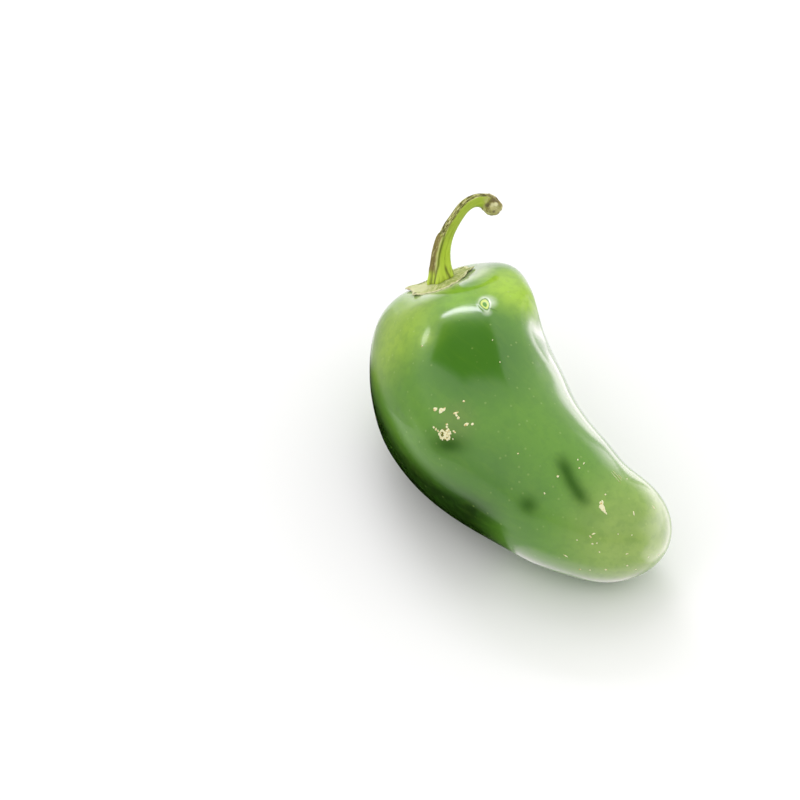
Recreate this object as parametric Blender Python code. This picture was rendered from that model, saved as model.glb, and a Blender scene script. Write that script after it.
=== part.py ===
"""A jalapeno pepper as picked, lying on a level surface: the pod, its papery calyx and its hooked stem.

The stem end points along -X and the tip along +X. The origin is on the surface that the pod rests on,
under the middle of the whole pepper's box. Sizes below are in mm, and the finished meshes are in metres.
"""
import math

import bmesh
import bpy
import numpy as np
from mathutils import Vector
from mathutils.bvhtree import BVHTree

MM = 0.001

# Stations along the middle of the pod, from the seat of the calyx to the tip: place x, y, z, half width
# across and half height, then how far the section's axis dips and turns, in degrees.
POD_STATIONS = (
    (-10.0, 5.6, 30.5, 15.8, 15.6, 53, -1),
    (-1.6, 1.3, 20.6, 17.3, 18.6, 42, -7),
    (6.6, -3.3, 17.8, 18.4, 18.6, 29, -11),
    (15.2, -5.6, 17.5, 17.3, 17.1, 17, -10),
    (22.8, -6.3, 16.8, 15.5, 15.7, 11, -3),
    (30.0, -5.5, 15.7, 13.7, 14.3, 9, 6),
    (36.5, -4.1, 14.3, 12.6, 13.0, 9, 15),
    (43.5, -1.3, 12.3, 10.4, 11.3, 10, 24),
    (53.5, 4.3, 10.9, 8.8, 9.9, 10, 28),
)
POD_SIDES = 52
POD_RING_STEP = 2.0

# The shoulder is a squarish dome, and the tip a round one.
SHOULDER_DEPTH = 12.0
SHOULDER_SQUARENESS = 3.2
SHOULDER_RINGS = 11
TIP_DEPTH = 11.5
TIP_SQUARENESS = 2.1
TIP_RINGS = 9

# The skin stands out over the four chambers inside, most of all at the shoulder.
LOBES = 4
LOBE_PHASE = 45
LOBE_DEPTH = 0.026
LOBE_FADE = 21.0
LOBE_DEPTH_FAR = 0.008

# The waist shows on the inner flank of the bend only. Over the rest of the upper side the skin runs in one
# full curve, from this distance on the shoulder to this one on the body. It is drawn about this angle
# round the pod, in full as far as the first turn to either side, and not at all past the second.
CREST_START = 2.0
CREST_END = 38.0
CREST_ANGLE = 50
CREST_FULL = 62
CREST_NONE = 106

# Where the shoulder runs into the body the skin flows on, evened out most of all at this distance.
WAIST = 14.0
WAIST_SPREAD = 9.0
WAIST_ROUNDS = 24

# The calyx sits in a shallow flat-bottomed hollow in the top of the shoulder.
SEAT_DEPTH = 1.4
SEAT_RADIUS = 7.0
SEAT_FLATNESS = 4

# What the pod's weight presses flat where it lies, measured up from its lowest point.
REST_PRESS = 0.3

# The stem left the pod a little off the middle of the seat: how far towards +Y, and how far downhill.
CALYX_OFFSET = 0.3
CALYX_SLIP = 1.2

# The calyx: tips of its teeth as turn round the stem in degrees and reach from the middle, the reach
# of the notches between them, then a thin rim round a level hub. One side of the rim curls up.
CALYX_TEETH = (
    (39, 6.7),
    (79, 6.8),
    (136, 6.3),
    (171, 7.0),
    (236, 7.4),
    (296, 6.2),
    (353, 6.4),
)
CALYX_NOTCH = 5.7
CALYX_NOTCH_SHARPNESS = 1.4
CALYX_SIDES = 84
CALYX_RINGS = 8
CALYX_RIM_THICK = 0.55
CALYX_HUB_THICK = 0.85
CALYX_HUB_RADIUS = 3.2
CALYX_HUB_SLOPE = 1.8
CALYX_CURL = 0.7
CALYX_CURL_TURN = 62
CALYX_CURL_SPREAD = 34
CALYX_CURL_POWER = 3

# Clearance between pieces that touch, and the height from which the pod's skin is looked down on.
GAP = 0.32
SIGHT = 20.0

# Stations along the middle of the stem, from the calyx to where it was picked: place x, y, z and radius.
STEM_STATIONS = (
    (-10.9, 5.4, 32.3, 2.55),
    (-11.4, 6.0, 33.9, 1.95),
    (-12.0, 6.8, 35.7, 1.60),
    (-12.5, 8.0, 37.6, 1.46),
    (-12.7, 9.4, 39.4, 1.35),
    (-12.8, 11.0, 40.9, 1.26),
    (-12.8, 12.5, 42.2, 1.24),
    (-12.6, 13.9, 42.9, 1.24),
    (-12.2, 15.3, 43.1, 1.30),
    (-11.4, 16.5, 42.8, 1.45),
    (-10.6, 17.3, 42.0, 1.70),
    (-9.7, 17.9, 40.9, 1.62),
)
STEM_SIDES = 40
STEM_RING_STEP = 0.75

# The stem leaves the calyx square to it, then eases into its own line.
STEM_SQUARE_REACH = 2.0
STEM_SETTLE_REACH = 4.0

# Five ribs run up the stem, deepest at the foot. Their depth is a share of the radius, their twist
# is in radians per mm.
STEM_RIBS = 5
STEM_RIB_DEPTH = 0.13
STEM_RIB_FADE = 7.0
STEM_RIB_DEPTH_FAR = 0.045
STEM_RIB_TWIST = 0.05

# The cut end bulges a little, and its edge is worn round.
STEM_END_BULGE = 0.5
STEM_END_SHARE = 0.72

# Base colours in linear light, and roughness.
POD_GREEN = (0.13, 0.34, 0.045)
POD_ROUGHNESS = 0.25
CALYX_BUFF = (0.50, 0.52, 0.24)
CALYX_ROUGHNESS = 0.8
STEM_GREEN = (0.32, 0.44, 0.06)
STEM_ROUGHNESS = 0.6


def curve_at(stations, place):
    """Every column of the stations on one smooth curve, at a place counted in stations."""
    rows = np.array(stations, dtype=float)
    rows = np.vstack([2 * rows[0] - rows[1], rows, 2 * rows[-1] - rows[-2]])
    index = min(int(place), len(stations) - 2)
    u = place - index
    before, start, end, after = rows[index:index + 4]
    square = (2 * before - 5 * start + 4 * end - after) * u ** 2
    cube = (3 * start - before - 3 * end + after) * u ** 3
    return 0.5 * (2 * start + (end - before) * u + square + cube)


class Way:
    """A smooth curve through stations, read by the distance along it."""

    def __init__(self, stations, samples=400):
        places = np.linspace(0, len(stations) - 1, samples)
        self.table = np.array([curve_at(stations, place) for place in places])
        steps = np.linalg.norm(np.diff(self.table[:, :3], axis=0), axis=1)
        self.along = np.concatenate([[0.0], np.cumsum(steps)])
        self.length = float(self.along[-1])

    def at(self, s):
        """Every column of the stations at this distance."""
        return np.array([np.interp(s, self.along, column) for column in self.table.T])

    def direction(self, s, reach=0.5):
        """Unit vector along the curve, taken over a short reach on either side."""
        ahead = self.at(min(s + reach, self.length))[:3]
        behind = self.at(max(s - reach, 0.0))[:3]
        return Vector(ahead - behind).normalized()


def heading(dip, turn):
    """Unit vector that dips below the horizontal and turns from +X towards +Y, both in degrees."""
    dip, turn = math.radians(dip), math.radians(turn)
    return Vector((math.cos(dip) * math.cos(turn), math.cos(dip) * math.sin(turn), -math.sin(dip)))


def dome(depth, squareness, rings):
    """Drop below the pole and share of the full section, for each ring of a rounded end."""
    power = 2 / squareness
    shape = []
    for index in range(1, rings + 1):
        angle = math.pi / 2 * index / rings
        drop = depth * (1 - max(math.cos(angle), 0.0) ** power)
        shape.append((drop, math.sin(angle) ** power))
    return shape


def add_rings(bm, loops, first_pole, last_pole):
    """Skin over a list of rings of points, closed by a fan at each end's pole. Gives the rings back."""
    rings = [[bm.verts.new(point) for point in loop] for loop in loops]
    first = bm.verts.new(first_pole)
    last = bm.verts.new(last_pole)
    count = len(rings[0])
    for step in range(count):
        after = (step + 1) % count
        for near, far in zip(rings, rings[1:]):
            bm.faces.new((near[step], near[after], far[after], far[step]))
        bm.faces.new((first, rings[0][after], rings[0][step]))
        bm.faces.new((last, rings[-1][step], rings[-1][after]))
    return rings


def pod_rings(length):
    """Distance along the pod and share of the full section, for each ring from calyx to tip."""
    rings = dome(SHOULDER_DEPTH, SHOULDER_SQUARENESS, SHOULDER_RINGS)
    straight = length - SHOULDER_DEPTH - TIP_DEPTH
    count = round(straight / POD_RING_STEP)
    rings += [(SHOULDER_DEPTH + straight * index / count, 1.0) for index in range(1, count)]
    tip = dome(TIP_DEPTH, TIP_SQUARENESS, TIP_RINGS)
    rings += [(length - drop, share) for drop, share in reversed(tip)]
    return rings


def lobe_swell(angle, s):
    """Share by which the skin stands out over the chambers inside."""
    depth = LOBE_DEPTH * math.exp(-(s / LOBE_FADE) ** 2) + LOBE_DEPTH_FAR
    return 1 + depth * math.cos(LOBES * (angle - math.radians(LOBE_PHASE)))


def pod_point(way, s, share, angle):
    """Point of the pod's skin. Angle 0 is the -Y side and a quarter turn is up."""
    x, y, z, half_width, half_height, dip, turn = way.at(s)
    ahead = heading(dip, turn)
    side = ahead.cross(Vector((0, 0, 1))).normalized()
    up = side.cross(ahead)
    swell = share * lobe_swell(angle, s)
    right = half_width * swell * math.cos(angle)
    rise = half_height * swell * math.sin(angle)
    hollow = 0.0
    if s < SHOULDER_DEPTH:
        hollow = SEAT_DEPTH * math.exp(-(math.hypot(right, rise) / SEAT_RADIUS) ** SEAT_FLATNESS)
    return Vector((x, y, z)) + side * right + up * rise + ahead * hollow


def even_waist(bm, rings, distances):
    """Evens out the bend between shoulder and body, fading to nothing on either side of the waist."""
    before = {vert: vert.co.copy() for vert in bm.verts}
    axes = {"use_axis_x": True, "use_axis_y": True, "use_axis_z": True}
    for _ in range(WAIST_ROUNDS):
        bmesh.ops.smooth_vert(bm, verts=bm.verts, factor=0.5, **axes)
    share = {vert: 0.0 for vert in bm.verts}
    for s, ring in zip(distances, rings):
        for vert in ring:
            share[vert] = math.exp(-((s - WAIST) / WAIST_SPREAD) ** 2)
    for vert in bm.verts:
        vert.co = before[vert].lerp(vert.co, share[vert])


def crest_share(degrees):
    """1 where the skin runs in one full curve over the waist, 0 where the waist stays."""
    away = abs((degrees - CREST_ANGLE + 180) % 360 - 180)
    share = max(0.0, min(1.0, (CREST_NONE - away) / (CREST_NONE - CREST_FULL)))
    return share * share * (3 - 2 * share)


def fill_crest(rings, distances):
    """Draws the skin as one curve that leaves the shoulder and meets the body along their own lines."""
    first = min(index for index, s in enumerate(distances) if s >= CREST_START)
    last = min(index for index, s in enumerate(distances) if s >= CREST_END)
    for step in range(POD_SIDES):
        share = crest_share(360 * step / POD_SIDES)
        verts = [ring[step] for ring in rings[first - 1:last + 2]]
        line = [vert.co.copy() for vert in verts]
        travel = [0.0]
        for near, far in zip(line[1:-1], line[2:-1]):
            travel.append(travel[-1] + (far - near).length)
        start, end = line[1], line[-2]
        third = (end - start).length / 3
        leaving = start + (line[2] - line[0]).normalized() * third
        meeting = end - (line[-1] - line[-3]).normalized() * third
        for vert, done in zip(verts[1:-1], travel):
            t = done / travel[-1]
            u = 1 - t
            point = start * u ** 3 + leaving * (3 * t * u * u) + meeting * (3 * t * t * u) + end * t ** 3
            vert.co = vert.co.lerp(point, share)


def press_flat(bm):
    """Flattens the underside where the pod's weight rests, all on one level."""
    level = min(vert.co.z for vert in bm.verts) + REST_PRESS
    for vert in bm.verts:
        vert.co.z = max(vert.co.z, level)


def build_pod():
    """The whole pod, skin and shoulders, grown as one piece."""
    way = Way(POD_STATIONS)
    places = pod_rings(way.length)
    angles = [math.tau * step / POD_SIDES for step in range(POD_SIDES)]
    loops = [[pod_point(way, s, share, angle) for angle in angles] for s, share in places]
    bm = bmesh.new()
    rings = add_rings(bm, loops, pod_point(way, 0.0, 0.0, 0.0), pod_point(way, way.length, 0.0, 0.0))
    distances = [s for s, _ in places]
    even_waist(bm, rings, distances)
    fill_crest(rings, distances)
    press_flat(bm)
    return bm


def calyx_frame():
    """Middle of the calyx on the pod's seat, its outward normal, and two directions in its plane."""
    x, y, z, _, _, dip, turn = POD_STATIONS[0]
    normal = -heading(dip, turn)
    across = Vector((0, 1, 0))
    across = (across - normal * across.dot(normal)).normalized()
    uphill = across.cross(normal)
    middle = Vector((x, y, z)) + across * CALYX_OFFSET - uphill * CALYX_SLIP
    return middle, normal, across, uphill


def calyx_reach(turn):
    """Reach of the calyx's edge from its middle, at a turn in degrees: pointed teeth with round notches."""
    teeth = sorted(CALYX_TEETH)
    teeth = [(teeth[-1][0] - 360, teeth[-1][1])] + teeth + [(teeth[0][0] + 360, teeth[0][1])]
    turn %= 360
    for (start, reach), (end, next_reach) in zip(teeth, teeth[1:]):
        if start <= turn <= end:
            u = (turn - start) / (end - start)
            tip = reach + (next_reach - reach) * u
            return tip + (CALYX_NOTCH - tip) * math.sin(math.pi * u) ** CALYX_NOTCH_SHARPNESS
    return CALYX_NOTCH


def calyx_curl(turn, share):
    """How far the papery calyx curls up off the pod, at a share of its reach."""
    away = (turn - CALYX_CURL_TURN + 180) % 360 - 180
    return CALYX_CURL * math.exp(-(away / CALYX_CURL_SPREAD) ** 2) * share ** CALYX_CURL_POWER


def hub_share(radius):
    """1 on the level hub in the middle of the calyx, falling to 0 down its slope."""
    share = max(0.0, min(1.0, (CALYX_HUB_RADIUS + CALYX_HUB_SLOPE - radius) / CALYX_HUB_SLOPE))
    return share * share * (3 - 2 * share)


def build_calyx(pod):
    """Papery disc that follows the pod's skin, and the middle of the stem's foot on its level hub."""
    centre, normal, across, uphill = calyx_frame()
    skin = BVHTree.FromBMesh(pod)

    def bed(radius, turn, share):
        """Point of the underside, just off the pod's skin."""
        angle = math.radians(turn)
        start = centre + (across * math.cos(angle) + uphill * math.sin(angle)) * radius
        hit = skin.ray_cast(start + normal * SIGHT, -normal)[0]
        return hit + normal * (GAP + calyx_curl(turn, share))

    middle = bed(0.0, 0.0, 0.0)
    hub = middle + normal * CALYX_HUB_THICK
    lower, upper = [], []
    for index in range(1, CALYX_RINGS + 1):
        share = index / CALYX_RINGS
        below, top = [], []
        for step in range(CALYX_SIDES):
            turn = 360 * step / CALYX_SIDES
            radius = calyx_reach(turn) * share
            point = bed(radius, turn, share)
            raised = point + normal * CALYX_RIM_THICK
            level = raised + normal * (hub - raised).dot(normal)
            below.append(point)
            top.append(raised.lerp(level, hub_share(radius)))
        lower.append(below)
        upper.append(top)
    bm = bmesh.new()
    add_rings(bm, lower + upper[::-1], middle, hub)
    return bm, hub + normal * GAP


def build_stem(foot):
    """Ribbed stalk that stands on its foot, hooks over and ends in a knob where it was picked."""
    _, normal, _, _ = calyx_frame()
    way = Way(STEM_STATIONS)
    shift = foot - Vector(way.at(0.0)[:3])
    count = round(way.length / STEM_RING_STEP)
    side = normal.cross(Vector((0, 0, 1))).normalized()
    loops = []
    for index in range(count + 1):
        s = way.length * index / count
        x, y, z, radius = way.at(s)
        square = math.exp(-(s / STEM_SQUARE_REACH) ** 2)
        ahead = (way.direction(s) * (1 - square) + normal * square).normalized()
        side = (side - ahead * side.dot(ahead)).normalized()
        up = ahead.cross(side)
        middle = Vector((x, y, z)) + shift * math.exp(-(s / STEM_SETTLE_REACH) ** 2)
        rib = STEM_RIB_DEPTH * math.exp(-s / STEM_RIB_FADE) + STEM_RIB_DEPTH_FAR
        loop = []
        for step in range(STEM_SIDES):
            angle = math.tau * step / STEM_SIDES
            reach = radius * (1 + rib * math.cos(STEM_RIBS * angle + STEM_RIB_TWIST * s))
            loop.append(middle + (side * math.cos(angle) + up * math.sin(angle)) * reach)
        loops.append(loop)
    end = Vector(way.at(way.length)[:3])
    bulge = way.direction(way.length) * STEM_END_BULGE
    loops.append([end + (point - end) * STEM_END_SHARE + bulge for point in loops[-1]])
    bm = bmesh.new()
    add_rings(bm, loops, foot, end + bulge)
    return bm


def settle_on_origin(meshes):
    """Moves all the meshes so that their shared box stands on the origin, and turns them into metres."""
    points = np.array([vert.co[:] for bm in meshes for vert in bm.verts])
    low, high = points.min(axis=0), points.max(axis=0)
    shift = -Vector(((low[0] + high[0]) / 2, (low[1] + high[1]) / 2, low[2]))
    for bm in meshes:
        bmesh.ops.translate(bm, vec=shift, verts=bm.verts)
        bmesh.ops.scale(bm, vec=(MM, MM, MM), verts=bm.verts)


def make_object(name, bm, color, roughness):
    """Puts a finished mesh in the scene as a smooth-shaded object with its own material."""
    bmesh.ops.recalc_face_normals(bm, faces=bm.faces)
    mesh = bpy.data.meshes.new(name)
    bm.to_mesh(mesh)
    bm.free()
    mesh.shade_smooth()
    thing = bpy.data.objects.new(name, mesh)
    bpy.context.scene.collection.objects.link(thing)
    material = bpy.data.materials.new(name + "_finish")
    material.use_nodes = True
    shader = material.node_tree.nodes["Principled BSDF"]
    shader.inputs["Base Color"].default_value = (*color, 1)
    shader.inputs["Roughness"].default_value = roughness
    shader.inputs["Metallic"].default_value = 0
    mesh.materials.append(material)


def clear_scene():
    for thing in list(bpy.data.objects):
        bpy.data.objects.remove(thing, do_unlink=True)


def main():
    clear_scene()
    pod = build_pod()
    calyx, foot = build_calyx(pod)
    stem = build_stem(foot)
    settle_on_origin([pod, calyx, stem])
    make_object("pod", pod, POD_GREEN, POD_ROUGHNESS)
    make_object("calyx", calyx, CALYX_BUFF, CALYX_ROUGHNESS)
    make_object("stem", stem, STEM_GREEN, STEM_ROUGHNESS)


main()
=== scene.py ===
import math
import random

import bpy
import numpy as np
from bpy.props import FloatProperty, FloatVectorProperty, IntProperty, PointerProperty
from mathutils import Matrix, Vector, noise
from mathutils.bvhtree import BVHTree


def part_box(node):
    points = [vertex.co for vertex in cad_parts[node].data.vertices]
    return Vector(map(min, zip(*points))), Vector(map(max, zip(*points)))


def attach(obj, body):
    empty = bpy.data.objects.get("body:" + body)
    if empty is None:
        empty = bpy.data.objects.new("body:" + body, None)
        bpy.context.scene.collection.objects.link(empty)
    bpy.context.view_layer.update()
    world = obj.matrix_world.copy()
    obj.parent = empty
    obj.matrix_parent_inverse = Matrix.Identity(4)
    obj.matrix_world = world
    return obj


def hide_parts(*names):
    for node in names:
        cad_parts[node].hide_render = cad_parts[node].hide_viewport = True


bl_info = {
    "name": "Jalapeno pepper",
    "version": (1, 0, 0),
    "blender": (4, 5, 0),
    "location": "View3D > Sidebar > Jalapeno",
    "description": "Dresses a jalapeno pepper: waxy skin, corky scars, papery calyx and fibrous stem",
    "category": "Object",
}

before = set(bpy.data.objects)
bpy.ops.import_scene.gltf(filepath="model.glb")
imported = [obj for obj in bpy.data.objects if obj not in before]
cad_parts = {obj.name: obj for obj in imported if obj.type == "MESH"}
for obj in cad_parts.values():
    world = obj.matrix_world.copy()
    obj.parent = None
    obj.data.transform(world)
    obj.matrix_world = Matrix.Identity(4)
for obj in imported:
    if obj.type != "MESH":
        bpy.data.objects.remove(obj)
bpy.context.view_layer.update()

MM = 0.001
BODY = "root"
MERGE = 0.00001
QUAD_TURN = 0.7
ROUNDING = 2
IMAGE_SIZE = 800
SENSOR = 0.036

# Places on the pepper, as pixels of the 800 x 800 photograph.
RING_SCAR = (484.7, 304.2)
LOBE_GLOW = (515, 288)
SHOULDER_GLOW = (396, 328)
TIP_GLOW = (640, 540)
# Deeper skin green here is partly painted shade that deepens the dark mirrored patch.
DEEP_GREEN_AND_SHADE_MIDDLE = (475, 356)
LOW_FLANK = (475, 492)
SEAT_GLOW = (458, 299)
# A pale spot of painted highlight on the side of the shoulder.
PAINTED_SIDE_HIGHLIGHT = (427, 338)
STAIN = (456, 422)
HEAP_BED = (445, 434.8)
# Pale halos of painted highlight round the round scar.
PAINTED_HIGHLIGHT_TOP = (487.5, 301.8)
PAINTED_HIGHLIGHT_FOOT = (487, 312.3)
CROWN_SIDE = (476, 275)
LOBE_EDGE = (534, 307)
MAIN_DENT = (447.5, 445)
ROUND_DIMPLE = (528, 505.6)
CREASE = ((557, 449), (563, 463), (571, 481), (580.4, 496), (592, 510))
CRUMB_HEAP = (444.7, 434.5)

# The heap's ovals of crumbs: middle, half width and half height in pixels, and number of crumbs.
HEAP_OVALS = (((442.2, 434.3), 2.5, 3.9, 12), ((448.3, 431.9), 2.0, 2.1, 8), ((447.3, 437.3), 1.8, 1.9, 7))

# Small corrections of the outline: pixel, reach and height in millimetres.
OUTLINE_TOUCHES = (
    ((530, 296), 4.5, 0.40), ((541, 332), 4.5, -0.62), ((496, 266), 4.5, 0.26),
    ((397, 302), 5.0, 0.45),
)

# Corky flecks: pixel, then length and width in millimetres and the lean of the length in the picture.
FLECKS = (
    (435.2, 409.3, 0.9, 0.75, 10), (440.9, 410.6, 0.9, 1.0, 0), (443.8, 409.3, 0.75, 0.6, 30),
    (463.9, 401.2, 0.5, 0.4, 0), (455.7, 413.2, 1.0, 0.5, 15), (456.5, 415.6, 0.5, 0.4, 120),
    (458.2, 417.9, 0.55, 0.55, 70), (466.4, 424.6, 0.9, 0.6, 25), (472.4, 424.2, 0.5, 0.5, 0),
    (433.8, 427.5, 0.45, 0.4, 140), (435.9, 429.1, 0.45, 0.4, 140), (438.1, 431, 0.5, 0.4, 140),
    (447, 424.5, 0.55, 0.35, 5), (447, 427, 0.45, 0.45, 90), (454.3, 431.8, 0.7, 0.38, 145),
    (518, 453.5, 0.3, 0.25, 0), (577.8, 459.8, 0.35, 0.25, 60), (583.8, 463.4, 0.55, 0.2, 55),
    (579.2, 468.2, 0.3, 0.28, 0), (557.8, 476.3, 0.5, 0.45, 0), (544.5, 493.3, 0.38, 0.25, 120),
    (627, 479, 0.35, 0.2, 60), (605.5, 494.5, 0.35, 0.28, 20), (653.8, 507.6, 0.8, 0.25, 140),
    (633.7, 513.4, 0.75, 0.3, 95), (593.3, 533.8, 0.75, 0.25, 25), (590.4, 536.7, 0.6, 0.25, 130),
    (592.5, 543.8, 0.4, 0.3, 0), (597, 543, 0.35, 0.25, 45), (577, 540, 0.3, 0.22, 0),
    (599.5, 552, 0.3, 0.25, 90), (565.7, 555.8, 0.9, 0.25, 145), (580, 569.3, 0.45, 0.3, 165),
    (590, 570, 0.3, 0.25, 0), (606, 569.6, 0.45, 0.4, 10), (627, 553.8, 0.55, 0.22, 5),
    (627.3, 565.6, 0.4, 0.35, 0), (636, 569.4, 0.35, 0.25, 30), (648.5, 557, 0.35, 0.25, 60),
    (658.8, 555, 0.3, 0.25, 0), (618, 534, 0.28, 0.2, 0), (632, 535, 0.28, 0.2, 30),
    (492.5, 340, 0.28, 0.2, 70), (500, 362, 0.28, 0.22, 0), (422, 346, 0.45, 0.2, 20),
)
LARGE_SCAR = ((602.6, 501.6), (601.7, 504), (601.7, 506.3), (602.8, 508.6), (604.4, 511), (606.2, 513.2))
LARGE_SCAR_SIZES = ((0.6, 0.3), (0.9, 0.65), (1.0, 0.95), (1.0, 0.85), (0.8, 0.5), (0.5, 0.25))
SCRATCHES = (((611.5, 469.5), (619.5, 485)), ((614, 469.5), (620.5, 482)), ((618.5, 474), (622, 480)))


def linear(code):
    """A colour written as an sRGB hex code, as the three linear values that Blender works in."""
    values = [int(code[i:i + 2], 16) / 255 for i in (0, 2, 4)]
    return tuple(v / 12.92 if v <= 0.04045 else ((v + 0.055) / 1.055) ** 2.4 for v in values)


def colour(name, about, code):
    return FloatVectorProperty(
        name=name, description=about, subtype="COLOR", size=3, min=0, max=1, default=linear(code)
    )


def length(name, about, millimetres):
    return FloatProperty(
        name=name, description=about, subtype="DISTANCE", unit="LENGTH", default=millimetres * MM
    )


def share(name, about, value):
    return FloatProperty(name=name, description=about, subtype="FACTOR", min=0, max=1, default=value)


class PodSettings(bpy.types.PropertyGroup):
    mid_green: colour("Mid green", "Skin along the flank", "5B8D1F")
    deep_green: colour("Deep green", "Skin on the upper side of the belly", "3E7018")
    lobe_green: colour("Lobe green", "Sunlit yellow green of the lobe behind the stem", "9CC22C")
    shoulder_green: colour("Shoulder green", "Yellow green of the near shoulder", "8CB026")
    # Pale crown skin, partly a painted milky sheen where the wax round the calyx is dulled.
    crown_pale_and_sheen: colour("Crown green", "Pale skin round the calyx", "BDD096")
    tip_green: colour("Tip green", "Lighter skin at the tip", "92AE50")
    seat_green: colour("Seat green", "Yellow green between the calyx and the round scar", "80B022")
    # Painted shade: a near-black green painted low on one flank in place of the shade there.
    painted_shade_green: colour("Shade green", "Deep green low on the side that lay in the shade", "142B0A")
    undulation: length("Undulation", "Height of the slow waves of the skin", 0.03)
    dent: length("Dent", "Depth of the dent under the corky scar", 0.30)
    crease: length("Crease", "Depth of the slanted crease near the tip", 0.30)
    dimple: length("Dimple", "Depth of the faint round dimple", 0.14)
    ring: length("Ring", "Height of the rim of the round scar", 0.04)
    roughness: share("Roughness", "Roughness of the skin under its wax", 0.34)
    wax_roughness: share("Wax roughness", "Roughness of the wax layer", 0.105)
    bloom: share("Bloom", "Strength of the dusty bloom at the turning edges", 0.15)
    seat_lift: length("Seat lift", "How far the skin rises to meet the calyx", 0.26)


class ScarSettings(bpy.types.PropertyGroup):
    cork: colour("Cork", "Pale dry cork of the scars", "E6E3B8")
    ochre: colour("Ochre", "Older cork between the crumbs", "C29C30")
    crumbs: IntProperty(name="Crumbs", description="Loose crumbs round the heap", default=20, min=0)
    hidden: IntProperty(name="Hidden flecks", description="Flecks on the far side", default=46, min=0)
    height: length("Height", "How far a fleck stands out of the skin", 0.05)
    seed: IntProperty(name="Seed", description="Draw of the crumbs' places and sizes", default=11)


class CalyxSettings(bpy.types.PropertyGroup):
    paper: colour("Paper", "Olive cream of the dry cap", "ABB56A")
    vein: colour("Vein", "Greener veins from the stem to the teeth", "7F8E45")
    rim: colour("Rim", "Cream edge of the cap", "E2DDB4")
    dry: colour("Dry tip", "Pinkish tan of the withered tooth", "B8957A")
    sink: length("Sink", "How far the cap is let down onto the skin", 0.10)
    thin: length("Thinning", "How much the rim is thinned from above", 0.22)
    crinkle: length("Crinkle", "Height of the crinkles of the paper", 0.10)


class StemSettings(bpy.types.PropertyGroup):
    green: colour("Green", "Fresh yellow green of the stalk", "B0CA38")
    light: colour("Light green", "Bright ribs at the foot", "C4DC50")
    # Dark olive of the fibres, also used for painted shade on the inner side and in the hollows.
    olive_fibre_and_shade: colour("Groove", "Dark olive of the grooves", "4E4F1E")
    bark: colour("Bark", "Grey brown of the dry bark", "857644")
    cream: colour("Cream", "Cream of bare fibres", "D3CE92")
    umber: colour("Umber", "Dark brown of the cracks in the knob", "55492A")
    sink: length("Sink", "How far the foot reaches down into the cap", 0.60)
    groove: length("Groove depth", "Depth of the grooves at the foot", 0.16)
    bark_height: length("Bark height", "Height of the strip of bark", 0.16)
    lumps: length("Lumps", "Height of the lumps of the knob", 0.26)
    flare: length("Flare", "How much the foot swells on its lower side", 0.42)
    slim: length("Slimming", "How far the cracked side lies in", 0.22)


class StageSettings(bpy.types.PropertyGroup):
    azimuth: FloatProperty(name="Azimuth", description="Camera's way round the pepper",
                           subtype="ANGLE", unit="ROTATION", default=math.radians(50))
    elevation: FloatProperty(name="Elevation", description="Camera's height above the horizon",
                             subtype="ANGLE", unit="ROTATION", default=math.radians(46))
    distance: length("Distance", "From the camera to the point it is aimed at", 420)
    lens: FloatProperty(name="Lens", description="Focal length in millimetres", default=101.07, min=1)
    aim: FloatVectorProperty(name="Aim", description="The point that the camera is aimed at",
                             subtype="XYZ", unit="LENGTH", size=3, default=(-0.0198, -0.0106, 0.0144))
    zenith: FloatProperty(name="Zenith", description="Brightness of the surround overhead", default=1.08)
    horizon: FloatProperty(name="Horizon", description="Brightness of the surround low down", default=0.75)
    key: FloatProperty(name="Key", description="Power of the large soft light", default=1.2)
    strip: FloatProperty(name="Strip", description="Power of the long soft light", default=0.84)
    spot: FloatProperty(name="Small light", description="Power of the small soft light", default=0.06)
    floor: colour("Floor", "Pale matt floor", "EEEEEC")


def alone(piece):
    """Makes a piece the only one selected, and active."""
    bpy.ops.object.select_all(action="DESELECT")
    bpy.context.view_layer.objects.active = piece
    piece.select_set(True)


def merged_copy(node_name, piece_name):
    """A copy of a CAD node's mesh, merged and in quads, as a new piece."""
    piece = bpy.data.objects.new(piece_name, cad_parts[node_name].data.copy())
    piece.data.name = piece_name
    piece.data.materials.clear()
    bpy.context.scene.collection.objects.link(piece)
    alone(piece)
    bpy.ops.mesh.customdata_custom_splitnormals_clear()
    bpy.ops.object.mode_set(mode="EDIT")
    bpy.ops.mesh.select_all(action="SELECT")
    bpy.ops.mesh.remove_doubles(threshold=MERGE)
    bpy.ops.mesh.tris_convert_to_quads(face_threshold=QUAD_TURN, shape_threshold=QUAD_TURN)
    bpy.ops.object.mode_set(mode="OBJECT")
    return piece


def subdivide(piece):
    """Rounds a piece with Subdivision Surface and applies it."""
    alone(piece)
    modifier = piece.modifiers.new("round", "SUBSURF")
    modifier.levels = ROUNDING
    modifier.render_levels = ROUNDING
    bpy.ops.object.modifier_apply(modifier=modifier.name)
    bpy.ops.object.shade_smooth()


def vectors(rows, name):
    """The vectors that the rows of a mesh hold under a name."""
    found = np.empty(len(rows) * 3, np.float32)
    rows.foreach_get(name, found)
    return found.reshape(-1, 3).astype(float)


def points_of(mesh):
    return vectors(mesh.vertices, "co")


def normals_of(mesh):
    return vectors(mesh.vertex_normals, "vector")


def set_points(mesh, points):
    mesh.vertices.foreach_set("co", points.astype(np.float32).ravel())
    mesh.update()


def keep(mesh, name, values):
    """Keeps a number or a vector for each point of a mesh, for its material."""
    kind, field = ("FLOAT", "value") if values.ndim == 1 else ("FLOAT_VECTOR", "vector")
    mesh.attributes.new(name, kind, "POINT").data.foreach_set(field, values.astype(np.float32).ravel())


def smooth_step(values, start, end):
    """0 before start, 1 after end, and an even curve between."""
    t = np.clip((values - start) / (end - start), 0, 1)
    return t * t * (3 - 2 * t)


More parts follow.
